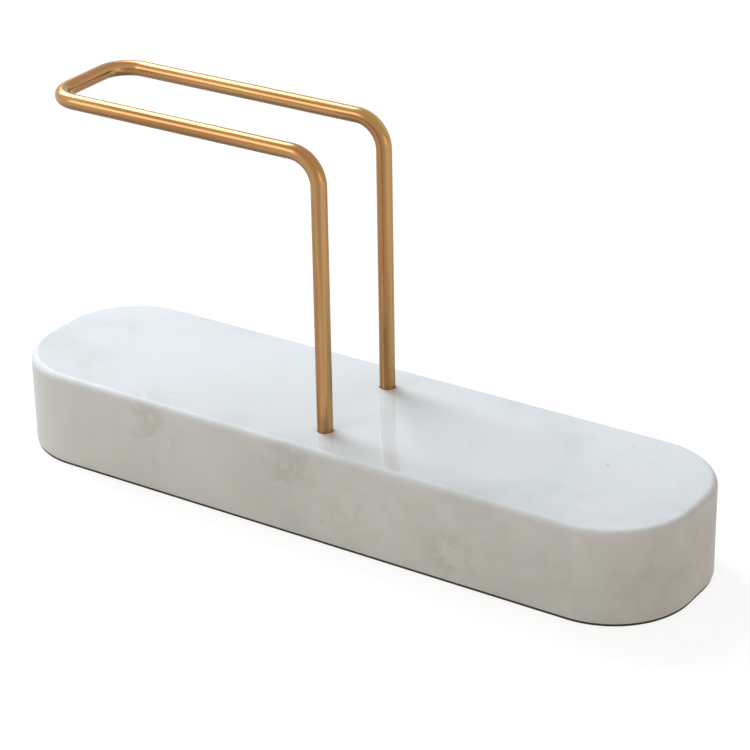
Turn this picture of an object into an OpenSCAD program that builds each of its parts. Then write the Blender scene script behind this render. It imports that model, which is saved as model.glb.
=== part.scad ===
// Coffee filter holder: a marble slab that carries one bent brass rod.
// The rod is a long hairpin loop. Its two legs stand in the slab, and its two arms run level above
// the slab to a cross bar. A stack of folded cone filters stands between the legs and the arms.
// Each leg is held by a washer and a nut in a counterbore under the slab, and a rubber pad covers
// both counterbores.
// Millimetres. The origin is the middle of the pad's underside, on the surface that the holder
// stands on. +X runs along the slab, away from the closed end of the loop, +Y across it and +Z up.

/* [Marble base] */
// Length of the marble slab
base_length = 152; // [120:1:190]
// Width of the marble slab
base_width = 40; // [38:1:60]
// Thickness of the marble slab
base_thickness = 19.5; // [14:0.5:30]
// Radius of the slab's corners in plan
corner_radius = 17; // [8:0.5:18]
// Radius of the rounded edge along the top
top_edge_radius = 1.5; // [0.5:0.1:3]
// Bevel along the bottom edge
bottom_bevel = 0.2; // [0.1:0.1:1]

/* [Brass rod] */
// Diameter of the rod
rod_diameter = 3.2; // [3:0.1:5]
// Distance between the two legs, centre to centre
leg_spacing = 22.5; // [20:0.5:24]
// Height of the arms' centre line above the top of the marble
arm_height = 57; // [40:0.1:120]
// Distance from the legs to the cross bar that closes the loop, between centre lines
arm_reach = 64; // [40:0.5:90]
// Centre line radius of the bend at the top of each leg
leg_bend_radius = 6; // [5:0.1:9]
// Centre line radius of the two bends at the closed end
loop_bend_radius = 6; // [5:0.1:8]

/* [Fastening under the marble] */
// Thickness of the marble that each leg's shoulder and washer clamp between them
web_thickness = 3; // [2:0.5:5]
// Diameter of each leg's turned-down end, which carries the thread
thread_diameter = 2.5; // [2:0.1:2.6]
// Diameter of the counterbore in the underside
counterbore_diameter = 9; // [8.5:0.1:10]
// Depth of the counterbore from the underside of the marble
counterbore_depth = 5; // [5:0.1:5.5]
// Outer diameter of the washer
washer_diameter = 6; // [5:0.1:7.5]
// Thickness of the washer
washer_thickness = 0.5; // [0.4:0.1:0.8]
// Width of the nut across its flats
nut_across_flats = 5; // [4:0.1:5.5]
// Height of the nut
nut_height = 2; // [1.6:0.1:2.4]
// Length of thread that shows below the nut
thread_past_nut = 0.8; // [0.4:0.1:1.2]

/* [Base pad] */
// Thickness of the rubber pad
pad_thickness = 0.5; // [0.4:0.1:3]
// Distance from the marble's side to the edge of the pad
pad_inset = 0.2; // [0.2:0.1:3]

/* [Clearances] */
// Gap around the leg in its socket
socket_clearance = 0.1; // [0.05:0.01:0.2]
// Gap around the thread in the marble and in the washer
thread_clearance = 0.1; // [0.05:0.01:0.2]
// Gap between the plain nut bore and the plain thread, which stand in for the two threads
nut_clearance = 0.03; // [0.02:0.01:0.1]

/* [Hidden] */
$fn = 64;

HEXAGON = 6;
// Sideways direction of each leg: near is -Y and far is +Y
NEAR = -1;
FAR = 1;
// How far a cutter runs past the face that it opens
OVERCUT = 1;

marble_bottom = pad_thickness;
marble_top = marble_bottom + base_thickness;
counterbore_roof = marble_bottom + counterbore_depth;
leg_shoulder_z = counterbore_roof + web_thickness;
nut_top = counterbore_roof - washer_thickness;
thread_end_z = nut_top - nut_height - thread_past_nut;

leg_y = leg_spacing / 2;
arm_z = marble_top + arm_height;
leg_run = arm_z - leg_bend_radius - leg_shoulder_z;
arm_run = arm_reach - leg_bend_radius - loop_bend_radius;
half_cross_bar = leg_y - loop_bend_radius;

// Side profile of the slab, from a plane inside it (x = 0) out to its side (x = reach)
module slab_profile(reach) {
    difference() {
        union() {
            square([reach, base_thickness - top_edge_radius]);
            square([reach - top_edge_radius, base_thickness]);
            translate([reach - top_edge_radius, base_thickness - top_edge_radius])
                circle(r = top_edge_radius);
        }
        polygon([
            [reach - bottom_bevel, 0],
            [reach + OVERCUT, 0],
            [reach + OVERCUT, -OVERCUT],
            [reach, -OVERCUT]
        ]);
    }
}

// The slab before drilling: four turned corners, with straight stretches between them
module slab() {
    straight_x = base_length / 2 - corner_radius;
    straight_y = base_width / 2 - corner_radius;
    for (side_x = [-1, 1], side_y = [-1, 1]) {
        mirror([side_x < 0 ? 1 : 0, 0, 0])
        mirror([0, side_y < 0 ? 1 : 0, 0])
        translate([straight_x, straight_y, 0])
        rotate_extrude(angle = 90)
            slab_profile(corner_radius);
    }
    for (side = [0, 180]) {
        rotate([0, 0, side])
        translate([straight_x, -straight_y, 0])
        rotate([90, 0, 0])
        mirror([0, 0, 1])
        linear_extrude(2 * straight_y)
            slab_profile(corner_radius);
        rotate([0, 0, side + 90])
        translate([straight_y, -straight_x, 0])
        rotate([90, 0, 0])
        mirror([0, 0, 1])
        linear_extrude(2 * straight_x)
            slab_profile(corner_radius);
    }
    translate([-straight_x, -straight_y, 0])
        cube([2 * straight_x, 2 * straight_y, base_thickness]);
}

// Stepped hole for one leg: socket, hole for the thread and counterbore
module leg_hole() {
    translate([0, 0, leg_shoulder_z])
        cylinder(d = rod_diameter + 2 * socket_clearance, h = marble_top - leg_shoulder_z + OVERCUT);
    translate([0, 0, marble_bottom])
        cylinder(d = thread_diameter + 2 * thread_clearance, h = base_thickness);
    translate([0, 0, marble_bottom - OVERCUT])
        cylinder(d = counterbore_diameter, h = counterbore_depth + OVERCUT);
}

module marble_base() {
    color("whitesmoke")
    difference() {
        translate([0, 0, marble_bottom])
            slab();
        for (side = [NEAR, FAR])
            translate([0, side * leg_y, 0])
                leg_hole();
    }
}

// Quarter bend of the rod around the Z axis, from the +X axis to the +Y axis
module quarter_bend(radius) {
    rotate_extrude(angle = 90)
        translate([radius, 0])
            circle(d = rod_diameter);
}

// Near half of the rod, from its threaded end to the middle of the cross bar
module half_rod() {
    translate([0, 0, thread_end_z])
        cylinder(d = thread_diameter, h = leg_shoulder_z - thread_end_z);
    translate([0, 0, leg_shoulder_z])
        cylinder(d = rod_diameter, h = leg_run);
    translate([-leg_bend_radius, 0, leg_shoulder_z + leg_run])
    rotate([90, 0, 0])
        quarter_bend(leg_bend_radius);
    translate([-leg_bend_radius - arm_run, 0, arm_z])
    rotate([0, 90, 0])
        cylinder(d = rod_diameter, h = arm_run);
    translate([-leg_bend_radius - arm_run, loop_bend_radius, arm_z])
    rotate([0, 0, 180])
        quarter_bend(loop_bend_radius);
    translate([-arm_reach, loop_bend_radius, arm_z])
    rotate([-90, 0, 0])
        cylinder(d = rod_diameter, h = half_cross_bar);
}

module brass_rod() {
    color("peru")
    for (half = [NEAR, FAR])
        mirror([0, half == FAR ? 1 : 0, 0])
        translate([0, -leg_y, 0])
            half_rod();
}

module washer(side) {
    color("silver")
    translate([0, side * leg_y, nut_top])
    difference() {
        cylinder(d = washer_diameter, h = washer_thickness);
        translate([0, 0, -OVERCUT])
            cylinder(d = thread_diameter + 2 * thread_clearance, h = washer_thickness + 2 * OVERCUT);
    }
}

module nut(side) {
    color("silver")
    translate([0, side * leg_y, nut_top - nut_height])
    difference() {
        cylinder(d = nut_across_flats / cos(180 / HEXAGON), h = nut_height, $fn = HEXAGON);
        translate([0, 0, -OVERCUT])
            cylinder(d = thread_diameter + 2 * nut_clearance, h = nut_height + 2 * OVERCUT);
    }
}

module base_pad() {
    pad_radius = corner_radius - pad_inset;
    straight_x = base_length / 2 - corner_radius;
    straight_y = base_width / 2 - corner_radius;
    color("dimgray")
    linear_extrude(pad_thickness) {
        for (side_x = [-1, 1], side_y = [-1, 1])
            translate([side_x * straight_x, side_y * straight_y])
                circle(r = pad_radius);
        square([2 * straight_x, 2 * (straight_y + pad_radius)], center = true);
        square([2 * (straight_x + pad_radius), 2 * straight_y], center = true);
    }
}

marble_base();
brass_rod();
washer(NEAR);  // near_washer
washer(FAR);  // far_washer
nut(NEAR);  // near_nut
nut(FAR);  // far_nut
base_pad();
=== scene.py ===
# %% [markdown]
# # A marble and brass coffee filter holder
# The holder is a slab of white marble with one bent brass rod standing in it. A stack of folded
# filters stands on edge between the rod's two arms. The construction model fixes every size. This
# script loads it, makes the marble, the rod and the pad as finely as they look in the hand, and
# gives each piece its finish.

# %% Load the construction model
import math
import bmesh
import bpy
from mathutils import Matrix, Vector


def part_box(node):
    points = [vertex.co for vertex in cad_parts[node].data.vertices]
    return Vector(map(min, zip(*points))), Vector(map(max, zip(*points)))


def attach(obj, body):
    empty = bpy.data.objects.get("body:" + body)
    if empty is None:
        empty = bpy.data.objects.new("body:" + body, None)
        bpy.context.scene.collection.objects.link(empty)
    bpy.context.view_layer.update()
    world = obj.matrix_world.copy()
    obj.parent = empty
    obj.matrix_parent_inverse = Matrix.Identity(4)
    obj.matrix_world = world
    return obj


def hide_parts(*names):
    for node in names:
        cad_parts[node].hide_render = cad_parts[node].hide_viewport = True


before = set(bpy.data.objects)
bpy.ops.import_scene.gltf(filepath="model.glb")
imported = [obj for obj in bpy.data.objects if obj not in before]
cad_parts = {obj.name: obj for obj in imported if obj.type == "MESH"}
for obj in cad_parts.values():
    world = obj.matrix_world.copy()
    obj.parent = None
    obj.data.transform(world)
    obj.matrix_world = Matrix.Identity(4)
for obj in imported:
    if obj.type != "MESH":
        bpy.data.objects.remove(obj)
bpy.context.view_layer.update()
MM = 0.001

# %% [markdown]
# ## Camera
# A long lens from about half a metre away keeps the slab's long edges almost parallel, which is how
# small objects are usually shown. The camera looks down on the near side from the right. Its place
# is worked out from the angles, so a change of view is a change of one number.

# %% Camera
VIEW_AZIMUTH = math.radians(33.43)
VIEW_ELEVATION = math.radians(26.02)
VIEW_ROLL = math.radians(-0.98)
VIEW_DISTANCE = 534 * MM
AIM_RIGHT = 3.7 * MM
AIM_UP = 24.4 * MM
LENS_MM = 127

side, lift = math.sin(VIEW_AZIMUTH), math.cos(VIEW_AZIMUTH)
level = math.cos(VIEW_ELEVATION)
backward = Vector((side * level, -lift * level, math.sin(VIEW_ELEVATION)))
rightward = Vector((lift, side, 0))
upward = backward.cross(rightward).normalized()
camera_data = bpy.data.cameras.new("camera")
camera_data.lens = LENS_MM
camera = bpy.data.objects.new("camera", camera_data)
bpy.context.scene.collection.objects.link(camera)
turned = Matrix.Rotation(VIEW_ROLL, 3, backward) @ Matrix((rightward, upward, backward)).transposed()
camera.matrix_world = Matrix.Translation(
    backward * VIEW_DISTANCE + rightward * AIM_RIGHT + upward * AIM_UP) @ turned.to_4x4()
bpy.context.scene.camera = camera
print("camera stands at, mm:", [round(value / MM) for value in camera.matrix_world.translation])

# %% [markdown]
# ## Small helpers
# Colours are written as sRGB hex values, the way a paint or a screen names them, and turned to the
# linear values that Blender's shaders work in. Nodes could be placed by hand in the editor, but a
# script can be read and run again. One function adds any node with its settings and its links, so
# that a material reads from top to bottom.

# %% Helpers for colours and nodes
# Sockets of a Mix node that mixes colours: its factor, its two colours and its result
SHARE, FIRST, SECOND, MIXED = 0, 6, 7, 2


def srgb(hex_value, alpha=1.0):
    channels = [int(hex_value[i:i + 2], 16) / 255 for i in (0, 2, 4)]
    return [c / 12.92 if c <= 0.04045 else ((c + 0.055) / 1.055) ** 2.4 for c in channels] + [alpha]


def add_node(tree, kind, inputs=None, **settings):
    made = tree.nodes.new(kind)
    for name, value in settings.items():
        setattr(made, name, value)
    for socket, value in (inputs or {}).items():
        if isinstance(value, bpy.types.NodeSocket):
            tree.links.new(value, made.inputs[socket])
        else:
            made.inputs[socket].default_value = value
    return made


def new_material(name):
    material = bpy.data.materials.new(name)
    material.use_nodes = True
    material.node_tree.nodes.clear()
    return material, material.node_tree


def finish_material(tree, shader, bump=None):
    if bump:
        tree.links.new(bump.outputs["Normal"], shader.inputs["Normal"])
    add_node(tree, "ShaderNodeOutputMaterial", {"Surface": shader.outputs[0]})


def dress(piece, material):
    piece.data.materials.clear()
    piece.data.materials.append(material)
    for polygon in piece.data.polygons:
        polygon.material_index = 0


def link_mesh(name, mesh):
    piece = bpy.data.objects.new(name, mesh)
    bpy.context.scene.collection.objects.link(piece)
    return piece


print("mid grey in linear light:", [round(c, 3) for c in srgb("808080")])

# %% [markdown]
# ## Sizes from the construction model
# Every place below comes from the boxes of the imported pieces. Only the radii, which a box can't
# tell, are named again here.

# %% Sizes
marble_low, marble_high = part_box("marble_base")
rod_low, rod_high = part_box("brass_rod")
pad_low, pad_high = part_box("base_pad")
nut_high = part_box("near_nut")[1]

CORNER_RADIUS = 17 * MM
TOP_EDGE_RADIUS = 1.5 * MM
BOTTOM_BEVEL = 0.2 * MM
SOCKET_CLEARANCE = 0.1 * MM
BEND_RADIUS = 6 * MM
THREAD_RADIUS = 1.25 * MM
WEB_THICKNESS = 3 * MM
COUNTERBORE_RADIUS = 4.5 * MM
WASHER_THICKNESS = 0.5 * MM
NEAR_AND_FAR = (-1, 1)

rod_radius = rod_high.x
leg_y = rod_high.y - rod_radius
arm_z = rod_high.z - rod_radius
loop_x = rod_low.x + rod_radius
counterbore_roof = nut_high.z + WASHER_THICKNESS
shoulder_z = counterbore_roof + WEB_THICKNESS
print("rod diameter, mm:", round(2 * rod_radius / MM, 2))
print("legs apart, mm:", round(2 * leg_y / MM, 2))

# %% [markdown]
# ## The marble slab
# On the real object a slab is sawn, its ends are ground round, its top edge is rolled over with a
# polishing pad, and two stepped holes are drilled. A cube with a Bevel modifier could make the
# outline, but its corners and its top edge would share one radius. So the mesh is made in the same
# order as the stone: an outline is extruded, its edges are bevelled, each by its own width, and
# stepped cutters are subtracted. Ten segments give the rolled edge its smooth line of light.

# %% Closed shapes from stacked rings of points, and the slab's outline
def skin(shape, rings):
    shape.faces.new(reversed(rings[0]))
    shape.faces.new(rings[-1])
    for below, above in zip(rings, rings[1:]):
        for i in range(len(below)):
            after = (i + 1) % len(below)
            shape.faces.new((below[i], below[after], above[after], above[i]))


def closed_piece(name, rings):
    shape = bmesh.new()
    skin(shape, [[shape.verts.new(point) for point in ring] for ring in rings])
    mesh = bpy.data.meshes.new(name)
    shape.to_mesh(mesh)
    shape.free()
    return link_mesh(name, mesh)


def rounded_outline(half_x, half_y, radius, steps):
    corners = ((1, 1, 0), (-1, 1, 90), (-1, -1, 180), (1, -1, 270))
    points = []
    for sign_x, sign_y, start in corners:
        for step in range(steps + 1):
            angle = math.radians(start + 90 * step / steps)
            points.append((sign_x * (half_x - radius) + radius * math.cos(angle),
                           sign_y * (half_y - radius) + radius * math.sin(angle)))
    return points


def extrude_outline(name, points, low_z, high_z):
    return closed_piece(name, [[(x, y, z) for x, y in points] for z in (low_z, high_z)])


CORNER_STEPS = 48
slab = extrude_outline("marble_slab",
                       rounded_outline(marble_high.x, marble_high.y, CORNER_RADIUS, CORNER_STEPS),
                       marble_low.z, marble_high.z)
print("outline points:", len(slab.data.vertices) // 2)

# %% Roll the top edge over and ease the bottom one
TOP_EDGE_SEGMENTS = 10
SAME_HEIGHT = 0.001 * MM


def bevel_ring(piece, z, width, segments):
    shape = bmesh.new()
    shape.from_mesh(piece.data)
    ring = [edge for edge in shape.edges if all(abs(v.co.z - z) < SAME_HEIGHT for v in edge.verts)]
    bmesh.ops.bevel(shape, geom=ring, offset=width, offset_type="OFFSET", segments=segments,
                    profile=0.5, affect="EDGES")
    shape.to_mesh(piece.data)
    shape.free()


bevel_ring(slab, marble_high.z, TOP_EDGE_RADIUS, segments=TOP_EDGE_SEGMENTS)
bevel_ring(slab, marble_low.z, BOTTOM_BEVEL, segments=1)
print("slab faces after bevelling:", len(slab.data.polygons))

# %% Drill the two stepped holes
OVERCUT = 2 * MM
CUT_STEPS = 64
SLAB_SHARP_ANGLE = math.radians(30)


def circle_of_points(centre_y, radius, z, steps):
    turns = [2 * math.pi * i / steps for i in range(steps)]
    return [(radius * math.cos(turn), centre_y + radius * math.sin(turn), z) for turn in turns]


hole_profile = [
    (COUNTERBORE_RADIUS, marble_low.z - OVERCUT),
    (COUNTERBORE_RADIUS, counterbore_roof),
    (THREAD_RADIUS + SOCKET_CLEARANCE, counterbore_roof),
    (THREAD_RADIUS + SOCKET_CLEARANCE, shoulder_z),
    (rod_radius + SOCKET_CLEARANCE, shoulder_z),
    (rod_radius + SOCKET_CLEARANCE, marble_high.z + OVERCUT),
]
for near_or_far in NEAR_AND_FAR:
    cutter = closed_piece("cutter", [
        circle_of_points(near_or_far * leg_y, radius, z, CUT_STEPS) for radius, z in hole_profile])
    drill = slab.modifiers.new("drill", "BOOLEAN")
    drill.object = cutter
    drill.solver = "EXACT"
    graph = bpy.context.evaluated_depsgraph_get()
    drilled = bpy.data.meshes.new_from_object(slab.evaluated_get(graph))
    slab.modifiers.remove(drill)
    slab.data = drilled
    bpy.data.objects.remove(cutter)
slab.data.shade_smooth()
slab.data.set_sharp_from_angle(angle=SLAB_SHARP_ANGLE)
print("slab faces after drilling:", len(slab.data.polygons))

# %% [markdown]
# ## The finish of the marble
# White marble is calcite, with an index of refraction near 1.5. The ground is a cool white, with
# pale grey-green clouds a few centimetres wide, a few clusters of faint veins, and a rare speck.
# The top is polished until it mirrors the rod's legs. The sides and the rolled edge are only honed,
# so they stay soft. A little light enters the stone and comes out again nearby, which softens it.
# A picture of marble would stretch round the ends. Solid noise runs through the stone as real veins
# do, so a vein on the top goes on down the side.

# %% Clusters and hairlines of the veins
VEIN_STRENGTH = 0.23
VEIN_SPACING = 11 * MM
WIDE_PATCH = 48 * MM
# Middle of each visible cluster of veins, and how far it spreads, in millimetres
VEIN_CLUSTERS = [
    ((-37, -20, 15), 11),
    ((-3, -20, 15), 9),
    ((34, -20, 6), 9),
]
CLUSTER_CORE = 2 * MM
CLUSTER_STRENGTH = 0.9


def vein_places(tree, place):
    wide_patch = add_node(tree, "ShaderNodeTexNoise", {
        "Vector": place, "Scale": 1 / WIDE_PATCH, "Detail": 2})
    spread = add_node(tree, "ShaderNodeMapRange", {
        "Value": wide_patch.outputs["Fac"], "From Min": 0.50, "From Max": 0.70, "To Max": 0.35},
        interpolation_type="SMOOTHSTEP").outputs[0]
    for centre, reach in VEIN_CLUSTERS:
        away = add_node(tree, "ShaderNodeVectorMath", {0: place, 1: [c * MM for c in centre]},
                        operation="DISTANCE")
        near = add_node(tree, "ShaderNodeMapRange", {
            "Value": away.outputs["Value"], "From Min": CLUSTER_CORE, "From Max": reach * MM,
            "To Min": CLUSTER_STRENGTH, "To Max": 0.0}, interpolation_type="SMOOTHSTEP")
        spread = add_node(tree, "ShaderNodeMath", {0: spread, 1: near.outputs[0]},
                          operation="MAXIMUM").outputs[0]
    return spread


def vein_amount(tree, place, seam):
    ridges = add_node(tree, "ShaderNodeTexNoise", {
        "Vector": seam, "Scale": 1 / VEIN_SPACING, "Detail": 8, "Roughness": 0.62, "Distortion": 0.3})
    off_ridge = add_node(tree, "ShaderNodeMath", {0: ridges.outputs["Fac"], 1: 0.5},
                         operation="SUBTRACT")
    distance = add_node(tree, "ShaderNodeMath", {0: off_ridge.outputs[0]}, operation="ABSOLUTE")
    hairline = add_node(tree, "ShaderNodeMapRange", {
        "Value": distance.outputs[0], "From Min": 0.0, "From Max": 0.09, "To Min": 1.0, "To Max": 0.0},
        interpolation_type="SMOOTHSTEP")
    veins = add_node(tree, "ShaderNodeMath", {0: hairline.outputs[0], 1: vein_places(tree, place)},
                     operation="MULTIPLY")
    return add_node(tree, "ShaderNodeMath", {0: veins.outputs[0], 1: VEIN_STRENGTH},
                    operation="MULTIPLY").outputs[0]


print("vein clusters:", len(VEIN_CLUSTERS))

# %% Colour of the marble
MARBLE_WHITE = srgb("EEF0EE")
MARBLE_CLOUD = srgb("E0E4E0")
MARBLE_VEIN = srgb("9A9A8B")
MARBLE_SPECK = srgb("B3AB9B")
CLOUD_WIDTH = 34 * MM
SPECK_SPACING = 13 * MM
# The patterns are turned against the slab, as in a stone that was sawn at a slant to its layers
LAYER_TURN = (0.5, 0.35, 0.6)


def marble_colour(tree, place):
    seam = add_node(tree, "ShaderNodeMapping", {"Vector": place, "Rotation": LAYER_TURN}).outputs[0]
    clouds = add_node(tree, "ShaderNodeTexNoise", {
        "Vector": seam, "Scale": 1 / CLOUD_WIDTH, "Detail": 5, "Roughness": 0.55, "Distortion": 0.6})
    cloud_mask = add_node(tree, "ShaderNodeMapRange", {
        "Value": clouds.outputs["Fac"], "From Min": 0.42, "From Max": 0.72},
        interpolation_type="SMOOTHSTEP")
    grains = add_node(tree, "ShaderNodeTexVoronoi", {"Vector": place, "Scale": 1 / SPECK_SPACING})
    speck = add_node(tree, "ShaderNodeMapRange", {
        "Value": grains.outputs["Distance"], "From Min": 0.02, "From Max": 0.05,
        "To Min": 0.3, "To Max": 0.0})
    ground = add_node(tree, "ShaderNodeMix", {
        SHARE: cloud_mask.outputs[0], FIRST: MARBLE_WHITE, SECOND: MARBLE_CLOUD},
        data_type="RGBA")
    veined = add_node(tree, "ShaderNodeMix", {
        SHARE: vein_amount(tree, place, seam), FIRST: ground.outputs[MIXED], SECOND: MARBLE_VEIN},
        data_type="RGBA")
    return add_node(tree, "ShaderNodeMix", {
        SHARE: speck.outputs[0], FIRST: veined.outputs[MIXED], SECOND: MARBLE_SPECK},
        data_type="RGBA").outputs[MIXED]


print("cloud width, mm:", round(CLOUD_WIDTH / MM), " one speck in every, mm:", round(SPECK_SPACING / MM))

# %% Polish of the marble
MARBLE_IOR = 1.5
RIPPLE_WIDTH = 14 * MM
HONED, POLISHED = 0.6, 0.06


def polished_marble():
    material, tree = new_material("white_marble_polished")
    place = add_node(tree, "ShaderNodeTexCoord").outputs["Object"]
    normal = add_node(tree, "ShaderNodeNewGeometry").outputs["Normal"]
    facing = add_node(tree, "ShaderNodeSeparateXYZ", {0: normal})
    roughness = add_node(tree, "ShaderNodeMapRange", {
        "Value": facing.outputs["Z"], "From Min": 0.988, "From Max": 0.9995,
        "To Min": HONED, "To Max": POLISHED})
    ripple = add_node(tree, "ShaderNodeTexNoise", {
        "Vector": place, "Scale": 1 / RIPPLE_WIDTH, "Detail": 3})
    bump = add_node(tree, "ShaderNodeBump", {
        "Height": ripple.outputs["Fac"], "Strength": 0.05, "Distance": 1 * MM})
    shader = add_node(tree, "ShaderNodeBsdfPrincipled", {
        "Base Color": marble_colour(tree, place), "Roughness": roughness.outputs[0], "IOR": MARBLE_IOR,
        "Subsurface Weight": 0.15, "Subsurface Radius": (1.0, 0.9, 0.8), "Subsurface Scale": 2 * MM})
    finish_material(tree, shader, bump)
    return material


dress(slab, polished_marble())
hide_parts("marble_base")
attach(slab, "root")
print("marble nodes:", len(slab.data.materials[0].node_tree.nodes))

# %% [markdown]
# ## The rod
# The real rod is one length of drawn brass, bent in four places. A curve with a round bevel could
# make it too, but then the finish couldn't tell where it is on the rod. Its shape follows a path,
# so Geometry Nodes make it: six corner points become a curve, Fillet Curve turns the four inner
# corners into bends, and Curve to Mesh sweeps a circle along it. The sweep also stores where each
# point lies around and along the rod, so that the die marks in the finish follow the bends.

# %% The rod's path
def poly_curve(name, points):
    curve = bpy.data.curves.new(name, "CURVE")
    curve.dimensions = "3D"
    spline = curve.splines.new("POLY")
    spline.points.add(len(points) - 1)
    for point, place in zip(spline.points, points):
        point.co = (*place, 1)
    made = bpy.data.objects.new(name, curve)
    bpy.context.scene.collection.objects.link(made)
    return made


rod_path = poly_curve("rod", [
    (0, -leg_y, shoulder_z), (0, -leg_y, arm_z), (loop_x, -leg_y, arm_z),
    (loop_x, leg_y, arm_z), (0, leg_y, arm_z), (0, leg_y, shoulder_z)])
print("arms' height, mm:", round(arm_z / MM, 1), " reach, mm:", round(-loop_x / MM, 1))

# %% The tree that sweeps a bar along a path
BEND_STEPS = 24
ROUND_STEPS = 48
SWEEP_STEP = 0.7 * MM


def bar_tree():
    tree = bpy.data.node_groups.new("swept_bar", "GeometryNodeTree")
    tree.interface.new_socket("Geometry", in_out="INPUT", socket_type="NodeSocketGeometry")
    for name in ("Bar Radius", "Bend Radius", "Step"):
        tree.interface.new_socket(name, in_out="INPUT", socket_type="NodeSocketFloat")
    tree.interface.new_socket("Finish", in_out="INPUT", socket_type="NodeSocketMaterial")
    tree.interface.new_socket("Geometry", in_out="OUTPUT", socket_type="NodeSocketGeometry")
    given = add_node(tree, "NodeGroupInput").outputs
    bent = add_node(tree, "GeometryNodeFilletCurve", {
        "Curve": given["Geometry"], "Radius": given["Bend Radius"], "Count": BEND_STEPS,
        "Limit Radius": True}, mode="POLY")
    fine = add_node(tree, "GeometryNodeResampleCurve", {
        "Curve": bent.outputs[0], "Length": given["Step"]}, mode="LENGTH")
    run = add_node(tree, "GeometryNodeSplineParameter")
    along = add_node(tree, "GeometryNodeStoreNamedAttribute", {
        "Geometry": fine.outputs[0], "Name": "along", "Value": run.outputs["Length"]},
        data_type="FLOAT", domain="POINT")
    ring = add_node(tree, "GeometryNodeCurvePrimitiveCircle", {
        "Resolution": ROUND_STEPS, "Radius": given["Bar Radius"]})
    spot = add_node(tree, "GeometryNodeInputPosition").outputs[0]
    around = add_node(tree, "GeometryNodeStoreNamedAttribute", {
        "Geometry": ring.outputs["Curve"], "Name": "around", "Value": spot},
        data_type="FLOAT_VECTOR", domain="POINT")
    bar = add_node(tree, "GeometryNodeCurveToMesh", {
        "Curve": along.outputs[0], "Profile Curve": around.outputs[0], "Fill Caps": True})
    smooth = add_node(tree, "GeometryNodeSetShadeSmooth", {"Geometry": bar.outputs[0]})
    real = add_node(tree, "GeometryNodeRealizeInstances", {"Geometry": smooth.outputs[0]})
    painted = add_node(tree, "GeometryNodeSetMaterial", {
        "Geometry": real.outputs[0], "Material": given["Finish"]})
    add_node(tree, "NodeGroupOutput", {0: painted.outputs[0]})
    return tree


sweep = bar_tree()
print("nodes in the sweeping tree:", len(sweep.nodes))

# %% Run a tree on a piece and keep the result as a plain mesh
def run_tree(piece, tree, values):
    modifier = piece.modifiers.new("nodes", "NODES")
    modifier.node_group = tree
    sockets = {s.name: s.identifier for s in tree.interface.items_tree if s.in_out == "INPUT"}
    for name, value in values.items():
        modifier[sockets[name]] = value
    graph = bpy.context.evaluated_depsgraph_get()
    mesh = bpy.data.meshes.new_from_object(piece.evaluated_get(graph))
    name = piece.name
    bpy.data.objects.remove(piece)
    return link_mesh(name, mesh)


print("steps round the rod:", ROUND_STEPS, " steps in each bend:", BEND_STEPS)

# %% [markdown]
# ## The finish of the rod
# The metal is brass, drawn through a die, brushed along its length to a satin finish, and given a
# thin clear lacquer. The die leaves long streaks, lighter and darker. The brushing leaves fine
# scratches, rougher in some lines than in others. In a room such a rod also has a light band up its
# legs and a brown underside, mostly from what it reflects. Plain white surroundings don't give
# those, so both are painted into the finish: a painted highlight up one side of the legs and a
# painted shade on the underside. Flat colour with a high metallic value would look like plastic
# foil, so each of these is a mask of its own. The lacquer is the shader's coat, which puts a paler
# highlight over the warm one of the metal.

# %% Where a mark lies on the rod
# Each pattern moves on by only this share of the distance along the rod, which draws it out lengthwise
SCRATCH_RUN, DIE_MARK_RUN, PATCH_RUN = 0.012, 0.03, 0.25
# Real brushed lines lie about 0.05 mm apart. They are drawn four times coarser, or none would show
SCRATCH_WIDTH = 0.22 * MM
DIE_MARK_WIDTH = 1.1 * MM
PATCH_WIDTH = 2.6 * MM


def rod_place(tree, share_of_length):
    around = add_node(tree, "ShaderNodeAttribute", attribute_name="around").outputs["Vector"]
    along = add_node(tree, "ShaderNodeAttribute", attribute_name="along").outputs["Fac"]
    ring = add_node(tree, "ShaderNodeSeparateXYZ", {0: around})
    run = add_node(tree, "ShaderNodeMath", {0: along, 1: share_of_length}, operation="MULTIPLY")
    return add_node(tree, "ShaderNodeCombineXYZ", {
        "X": ring.outputs["X"], "Y": ring.outputs["Y"], "Z": run.outputs[0]}).outputs[0]


print("a scratch's length, mm:", round(SCRATCH_WIDTH / SCRATCH_RUN / MM, 1))

# %% Tones of the brass
# The pale brass of the die marks and scratches, and the colour of the painted highlight too
BRASS_LIGHT = srgb("CA9F69")
BRASS_WARM = srgb("9A6836")
BRASS_OLIVE = srgb("917136")


def brass_tones(tree):
    patches = add_node(tree, "ShaderNodeTexNoise", {
        "Vector": rod_place(tree, PATCH_RUN), "Scale": 1 / PATCH_WIDTH, "Detail": 3, "Roughness": 0.6})
    olive_mask = add_node(tree, "ShaderNodeMapRange", {
        "Value": patches.outputs["Fac"], "From Min": 0.45, "From Max": 0.7},
        interpolation_type="SMOOTHSTEP")
    return add_node(tree, "ShaderNodeMix", {
        SHARE: olive_mask.outputs[0], FIRST: BRASS_WARM, SECOND: BRASS_OLIVE},
        data_type="RGBA").outputs[MIXED]


print("brass tones, linear:", [[round(c, 2) for c in tone[:3]] for tone in (BRASS_WARM, BRASS_OLIVE)])

# %% Light streaks along the die marks, and a painted highlight up one side of the rod
# Direction that the painted highlight up the legs faces, a painted reflection of the lit slab
PAINTED_HIGHLIGHT_SIDE = (0.88, -0.47, 0)
PAINTED_HIGHLIGHT_STRENGTH = 0.7
STREAK_STRENGTH = 0.5


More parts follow.
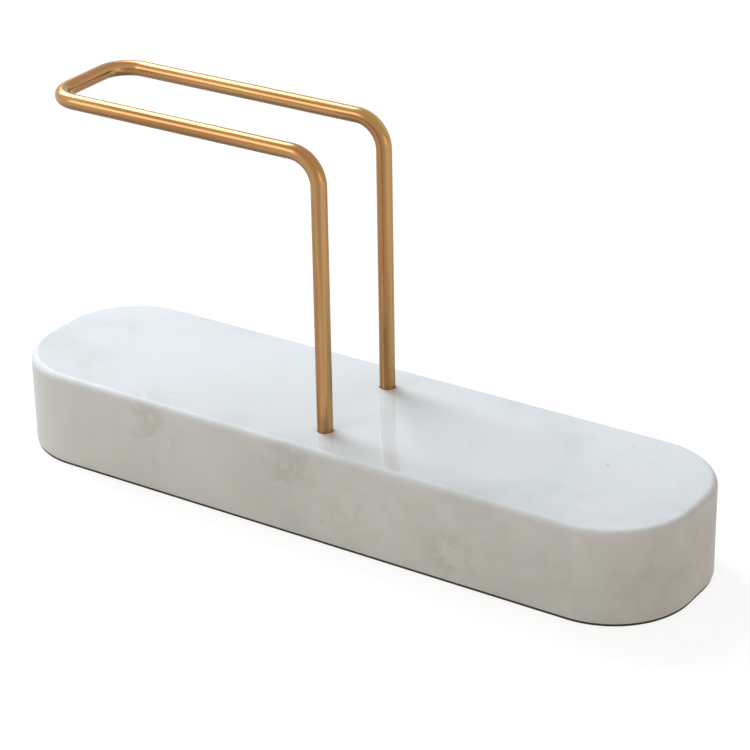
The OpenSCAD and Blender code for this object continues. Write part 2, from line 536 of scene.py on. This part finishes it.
def streaks_and_painted_highlight(tree, normal):
    die_marks = add_node(tree, "ShaderNodeTexNoise", {
        "Vector": rod_place(tree, DIE_MARK_RUN), "Scale": 1 / DIE_MARK_WIDTH,
        "Detail": 2, "Roughness": 0.5})
    streak_mask = add_node(tree, "ShaderNodeMapRange", {
        "Value": die_marks.outputs["Fac"], "From Min": 0.44, "From Max": 0.68,
        "To Max": STREAK_STRENGTH}, interpolation_type="SMOOTHSTEP")
    # Painted highlight: faces of the rod that turn towards this direction are painted lighter
    towards = add_node(tree, "ShaderNodeVectorMath", {0: normal, 1: PAINTED_HIGHLIGHT_SIDE},
                       operation="DOT_PRODUCT")
    painted_highlight = add_node(tree, "ShaderNodeMapRange", {
        "Value": towards.outputs["Value"], "From Min": 0.88, "From Max": 1.0,
        "To Max": PAINTED_HIGHLIGHT_STRENGTH}, interpolation_type="SMOOTHSTEP")
    return add_node(tree, "ShaderNodeMath", {0: streak_mask.outputs[0], 1: painted_highlight.outputs[0]},
                    operation="MAXIMUM").outputs[0]


painted_highlight_turn = math.degrees(math.atan2(PAINTED_HIGHLIGHT_SIDE[1], PAINTED_HIGHLIGHT_SIDE[0]))
print("buffed side, degrees round from +X:", round(painted_highlight_turn))

# %% Colour of the brass, with its fine scratches and a painted brown shade on its underside
# Painted shade: the underside is painted this dark brown, for the dark reflection a room gives it
BRASS_UNDERSIDE_SHADE = srgb("52300F")
SCRATCH_STRENGTH = 0.25
UNDERSIDE_SHADE_STRENGTH = 0.8


def brass_colour(tree, scratches):
    normal = add_node(tree, "ShaderNodeNewGeometry").outputs["Normal"]
    # Lighter die-mark streaks and the painted highlight, both mixed towards the pale brass
    streaked_and_highlighted = add_node(tree, "ShaderNodeMix", {
        SHARE: streaks_and_painted_highlight(tree, normal), FIRST: brass_tones(tree), SECOND: BRASS_LIGHT},
        data_type="RGBA")
    fine_mask = add_node(tree, "ShaderNodeMapRange", {
        "Value": scratches, "From Min": 0.35, "From Max": 0.65, "To Max": SCRATCH_STRENGTH})
    scratched = add_node(tree, "ShaderNodeMix", {
        SHARE: fine_mask.outputs[0], FIRST: streaked_and_highlighted.outputs[MIXED], SECOND: BRASS_LIGHT},
        data_type="RGBA")
    facing = add_node(tree, "ShaderNodeSeparateXYZ", {0: normal})
    # Painted shade: the further a face points down, the more of the dark brown it is painted
    underside = add_node(tree, "ShaderNodeMapRange", {
        "Value": facing.outputs["Z"], "From Min": 0.15, "From Max": -0.55,
        "To Max": UNDERSIDE_SHADE_STRENGTH}, interpolation_type="SMOOTHSTEP")
    return add_node(tree, "ShaderNodeMix", {
        SHARE: underside.outputs[0], FIRST: scratched.outputs[MIXED], SECOND: BRASS_UNDERSIDE_SHADE},
        data_type="RGBA").outputs[MIXED]


# The printed value is the painted shade of the underside
print("painted_underside_shade, linear:", [round(c, 3) for c in BRASS_UNDERSIDE_SHADE[:3]])

# %% Satin brass under lacquer, and the rod swept in it
BRASS_EDGE = srgb("F0DDC0")


def satin_brass():
    material, tree = new_material("satin_brass_lacquered")
    scratches = add_node(tree, "ShaderNodeTexNoise", {
        "Vector": rod_place(tree, SCRATCH_RUN), "Scale": 1 / SCRATCH_WIDTH,
        "Detail": 4, "Roughness": 0.7}).outputs["Fac"]
    roughness = add_node(tree, "ShaderNodeMapRange", {
        "Value": scratches, "From Min": 0.3, "From Max": 0.7, "To Min": 0.20, "To Max": 0.30})
    bump = add_node(tree, "ShaderNodeBump", {
        "Height": scratches, "Strength": 0.06, "Distance": 0.05 * MM})
    shader = add_node(tree, "ShaderNodeBsdfPrincipled", {
        "Base Color": brass_colour(tree, scratches), "Metallic": 1.0,
        "Roughness": roughness.outputs[0], "Specular Tint": BRASS_EDGE,
        "Coat Weight": 0.55, "Coat Roughness": 0.14})
    finish_material(tree, shader, bump)
    return material


brass = satin_brass()
rod = run_tree(rod_path, sweep, {
    "Bar Radius": rod_radius, "Bend Radius": BEND_RADIUS, "Step": SWEEP_STEP, "Finish": brass})
print("rod faces:", len(rod.data.polygons))

# %% [markdown]
# ## Threads, washers and nuts
# Each leg's end is turned down and carries a thread, and a washer and a nut hold it in the stone.
# The thread could be drawn with bump alone, as it is hidden. It is a real ridge here, so the part
# can be taken apart on screen. Rings of points are stacked up the core, and each point's radius
# depends on its height and its angle together, which winds the ridge into a helix.

# %% Threaded ends
THREAD_PITCH = 0.45 * MM
THREAD_DEPTH = 0.25 * MM
RINGS_PER_TURN = 12
THREAD_STEPS = 24
# The core runs this far up into the leg, so that the two join
INTO_THE_LEG = 0.5 * MM
ROD_SHARP_ANGLE = math.radians(40)


def threaded_end(target, centre_y, low_z, high_z):
    layers = int((high_z - low_z) / THREAD_PITCH * RINGS_PER_TURN)
    rings = []
    for layer in range(layers + 1):
        z = low_z + (high_z - low_z) * layer / layers
        ring = []
        for step in range(THREAD_STEPS):
            turn = step / THREAD_STEPS
            phase = ((z - low_z) / THREAD_PITCH - turn) % 1
            fade = min(1, (high_z - z) / THREAD_PITCH)
            radius = THREAD_RADIUS - THREAD_DEPTH * abs(2 * phase - 1) * fade
            ring.append(target.verts.new((radius * math.cos(2 * math.pi * turn),
                                          centre_y + radius * math.sin(2 * math.pi * turn), z)))
        rings.append(ring)
    skin(target, rings)


shape = bmesh.new()
shape.from_mesh(rod.data)
for near_or_far in NEAR_AND_FAR:
    threaded_end(shape, near_or_far * leg_y, rod_low.z, shoulder_z + INTO_THE_LEG)
shape.to_mesh(rod.data)
shape.free()
rod.data.shade_smooth()
rod.data.set_sharp_from_angle(angle=ROD_SHARP_ANGLE)
dress(rod, brass)
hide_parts("brass_rod")
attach(rod, "root")
print("rod faces with threads:", len(rod.data.polygons))

# %% [markdown]
# ## The finish of the washers and nuts
# Small steel fasteners are zinc plated against rust. The plating is a pale blue-grey with soft,
# grainy spots where it crystallised. One even grey would do from afar. A fine noise that drives the
# colour, the roughness and a little bump together keeps them alike at each spot, as they are in
# metal. The construction model's own washers and nuts keep their shapes and get this finish.

# %% Zinc-plated steel for the washers and nuts
ZINC = srgb("B9BDC2")
ZINC_BLUE = srgb("A7AEBA")
# The crystals of real plating are far finer than this, but then none would show
SPANGLE_WIDTH = 0.8 * MM


def zinc_plated_steel():
    material, tree = new_material("zinc_plated_steel")
    place = add_node(tree, "ShaderNodeTexCoord").outputs["Object"]
    spangle = add_node(tree, "ShaderNodeTexNoise", {
        "Vector": place, "Scale": 1 / SPANGLE_WIDTH, "Detail": 4})
    colour = add_node(tree, "ShaderNodeMix", {
        SHARE: spangle.outputs["Fac"], FIRST: ZINC, SECOND: ZINC_BLUE},
        data_type="RGBA")
    roughness = add_node(tree, "ShaderNodeMapRange", {
        "Value": spangle.outputs["Fac"], "From Min": 0.3, "From Max": 0.7, "To Min": 0.25, "To Max": 0.42})
    bump = add_node(tree, "ShaderNodeBump", {
        "Height": spangle.outputs["Fac"], "Strength": 0.1, "Distance": 0.02 * MM})
    shader = add_node(tree, "ShaderNodeBsdfPrincipled", {
        "Base Color": colour.outputs[MIXED], "Metallic": 1.0, "Roughness": roughness.outputs[0]})
    finish_material(tree, shader, bump)
    return material


zinc = zinc_plated_steel()
for name in ("near_washer", "far_washer", "near_nut", "far_nut"):
    dress(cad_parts[name], zinc)
    print("zinc plated:", name)

# %% [markdown]
# ## The rubber pad
# A sheet of dark rubber is die-cut to the slab's shape, a little smaller, and glued on. It stops
# the stone from sliding and from scratching the worktop. From the side it is only a thin dark line.
# The slab's own outline and bevel functions make it, so the two always match.

# %% Rubber pad
PAD_EDGE = 0.1 * MM
PAD_EDGE_SEGMENTS = 3
PAD_SHARP_ANGLE = math.radians(35)
pad_inset = marble_high.x - pad_high.x
pad = extrude_outline("rubber_pad",
                      rounded_outline(pad_high.x, pad_high.y, CORNER_RADIUS - pad_inset, CORNER_STEPS),
                      pad_low.z, pad_high.z)
bevel_ring(pad, pad_low.z, PAD_EDGE, segments=PAD_EDGE_SEGMENTS)
pad.data.shade_smooth()
pad.data.set_sharp_from_angle(angle=PAD_SHARP_ANGLE)
print("pad faces:", len(pad.data.polygons), " inset, mm:", round(pad_inset / MM, 2))

# %% [markdown]
# ## The finish of the pad
# The rubber is moulded against a pebbled sheet, so its face has a fine, even grain, and it gathers
# pale dust. A smooth black would hide its shape from below. Cells of Voronoi noise about a
# millimetre wide give the pebbles, as bump, and wide soft noise gives the dust.

# %% Moulded rubber
RUBBER_DARK = srgb("2B2522")
RUBBER_DUST = srgb("4A423C")
RUBBER_IOR = 1.52
# Real pebbles are about 0.3 mm wide. They are drawn three times coarser, or none would show
PEBBLE_WIDTH = 0.9 * MM
DUST_WIDTH = 12 * MM


def moulded_rubber():
    material, tree = new_material("moulded_rubber")
    place = add_node(tree, "ShaderNodeTexCoord").outputs["Object"]
    grain = add_node(tree, "ShaderNodeTexVoronoi", {"Vector": place, "Scale": 1 / PEBBLE_WIDTH})
    dust = add_node(tree, "ShaderNodeTexNoise", {
        "Vector": place, "Scale": 1 / DUST_WIDTH, "Detail": 5})
    dusty = add_node(tree, "ShaderNodeMapRange", {
        "Value": dust.outputs["Fac"], "From Min": 0.45, "From Max": 0.8})
    colour = add_node(tree, "ShaderNodeMix", {
        SHARE: dusty.outputs[0], FIRST: RUBBER_DARK, SECOND: RUBBER_DUST},
        data_type="RGBA")
    bump = add_node(tree, "ShaderNodeBump", {
        "Height": grain.outputs["Distance"], "Strength": 0.35, "Distance": 0.15 * MM})
    shader = add_node(tree, "ShaderNodeBsdfPrincipled", {
        "Base Color": colour.outputs[MIXED], "Roughness": 0.82, "IOR": RUBBER_IOR})
    finish_material(tree, shader, bump)
    return material


dress(pad, moulded_rubber())
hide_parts("base_pad")
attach(pad, "root")
print("pad thickness, mm:", round((pad_high.z - pad_low.z) / MM, 2))

# %% [markdown]
# ## Floor and light
# The floor and the sky are white to the camera and to shiny surfaces. More lamps could make a floor
# white, but they would also flood the object with light. Light Path tells the rays apart instead:
# what lights the stone is a dimmer sky and a slightly warm floor. The floor keeps the object's shadow,
# and from below it is clear, so that the pad can be seen. A large cool lamp stands for a window on
# the left, a small one lights the front, and a weak warm one lights the end.

# %% Floor
def seen_as_white(tree):
    rays = add_node(tree, "ShaderNodeLightPath")
    seen = rays.outputs["Is Camera Ray"]
    for kind in ("Is Glossy Ray", "Is Transmission Ray"):
        seen = add_node(tree, "ShaderNodeMath", {0: seen, 1: rays.outputs[kind]},
                        operation="MAXIMUM").outputs[0]
    return seen


FLOOR_HALF = 3.0
FLOOR_CORNERS = ((-1, -1), (1, -1), (1, 1), (-1, 1))
# The floor lies this far under the pad, so that the two faces don't flicker through each other
FLOOR_DROP = 0.05 * MM
FLOOR_PALE = srgb("D3C6B6")
FLOOR_WHITE = srgb("FFFFFF")
# Share of the floor's white that a shadow can take away, and what the glow adds so that it stays white
SHADOW_SHARE = 0.3
WHITE_RESERVE = 0.12
# Share of the floor's warm bounce that doesn't depend on the lamps
BOUNCE_GLOW = 0.25
floor_mesh = bpy.data.meshes.new("floor")
floor_mesh.from_pydata([(FLOOR_HALF * x, FLOOR_HALF * y, -FLOOR_DROP) for x, y in FLOOR_CORNERS],
                       [], [range(len(FLOOR_CORNERS))])
floor = link_mesh("floor", floor_mesh)
floor_material, tree = new_material("pale_floor")
lit = add_node(tree, "ShaderNodeBsdfDiffuse", {
    "Color": [(1 - BOUNCE_GLOW) * c for c in FLOOR_PALE[:3]] + [1]})
warm = add_node(tree, "ShaderNodeEmission", {"Color": FLOOR_PALE, "Strength": BOUNCE_GLOW})
bounce = add_node(tree, "ShaderNodeAddShader", {0: lit.outputs[0], 1: warm.outputs[0]})
shade = add_node(tree, "ShaderNodeBsdfDiffuse", {"Color": [SHADOW_SHARE] * 3 + [1]})
glow = add_node(tree, "ShaderNodeEmission", {
    "Color": FLOOR_WHITE, "Strength": 1 - SHADOW_SHARE + WHITE_RESERVE})
shown = add_node(tree, "ShaderNodeAddShader", {0: shade.outputs[0], 1: glow.outputs[0]})
either = add_node(tree, "ShaderNodeMixShader", {
    0: seen_as_white(tree), 1: bounce.outputs[0], 2: shown.outputs[0]})
from_below = add_node(tree, "ShaderNodeNewGeometry").outputs["Backfacing"]
clear = add_node(tree, "ShaderNodeBsdfTransparent")
one_sided = add_node(tree, "ShaderNodeMixShader", {
    0: from_below, 1: either.outputs[0], 2: clear.outputs[0]})
finish_material(tree, one_sided)
dress(floor, floor_material)
print("floor, m:", 2 * FLOOR_HALF)

# %% Sky
SKY_FILL = srgb("EEF0F2")
FILL_STRENGTH = 0.42
SKY_WHITE = srgb("FFFFFF")
world = bpy.data.worlds.new("studio")
bpy.context.scene.world = world
world.use_nodes = True
tree = world.node_tree
tree.nodes.clear()
fill = add_node(tree, "ShaderNodeBackground", {"Color": SKY_FILL, "Strength": FILL_STRENGTH})
white = add_node(tree, "ShaderNodeBackground", {"Color": SKY_WHITE, "Strength": 1.0})
sky = add_node(tree, "ShaderNodeMixShader", {
    0: seen_as_white(tree), 1: fill.outputs[0], 2: white.outputs[0]})
add_node(tree, "ShaderNodeOutputWorld", {"Surface": sky.outputs[0]})
print("sky's share of white that lights the object:", FILL_STRENGTH)

# %% Lamps: each one's name, place in metres, width in metres, power in watts and colour
def soft_lamp(name, place, width, power, colour):
    data = bpy.data.lights.new(name, "AREA")
    data.shape = "SQUARE"
    data.size = width
    data.energy = power
    data.color = srgb(colour)[:3]
    lamp = bpy.data.objects.new(name, data)
    bpy.context.scene.collection.objects.link(lamp)
    lamp.location = place
    lamp.rotation_euler = Vector(place).to_track_quat("Z", "Y").to_euler()
    lamp.visible_camera = False
    print(name, "stands", round(Vector(place).length, 2), "m away")


soft_lamp("window_lamp", (-0.60, 0.27, 0.62), 0.48, 6.8, "E8F2FF")
soft_lamp("front_lamp", (-0.44, -0.66, 0.43), 0.32, 1.0, "FFFAF0")
soft_lamp("side_lamp", (0.70, -0.20, 0.20), 0.30, 0.3, "FFC488")
bpy.context.scene.view_settings.view_transform = "Standard"
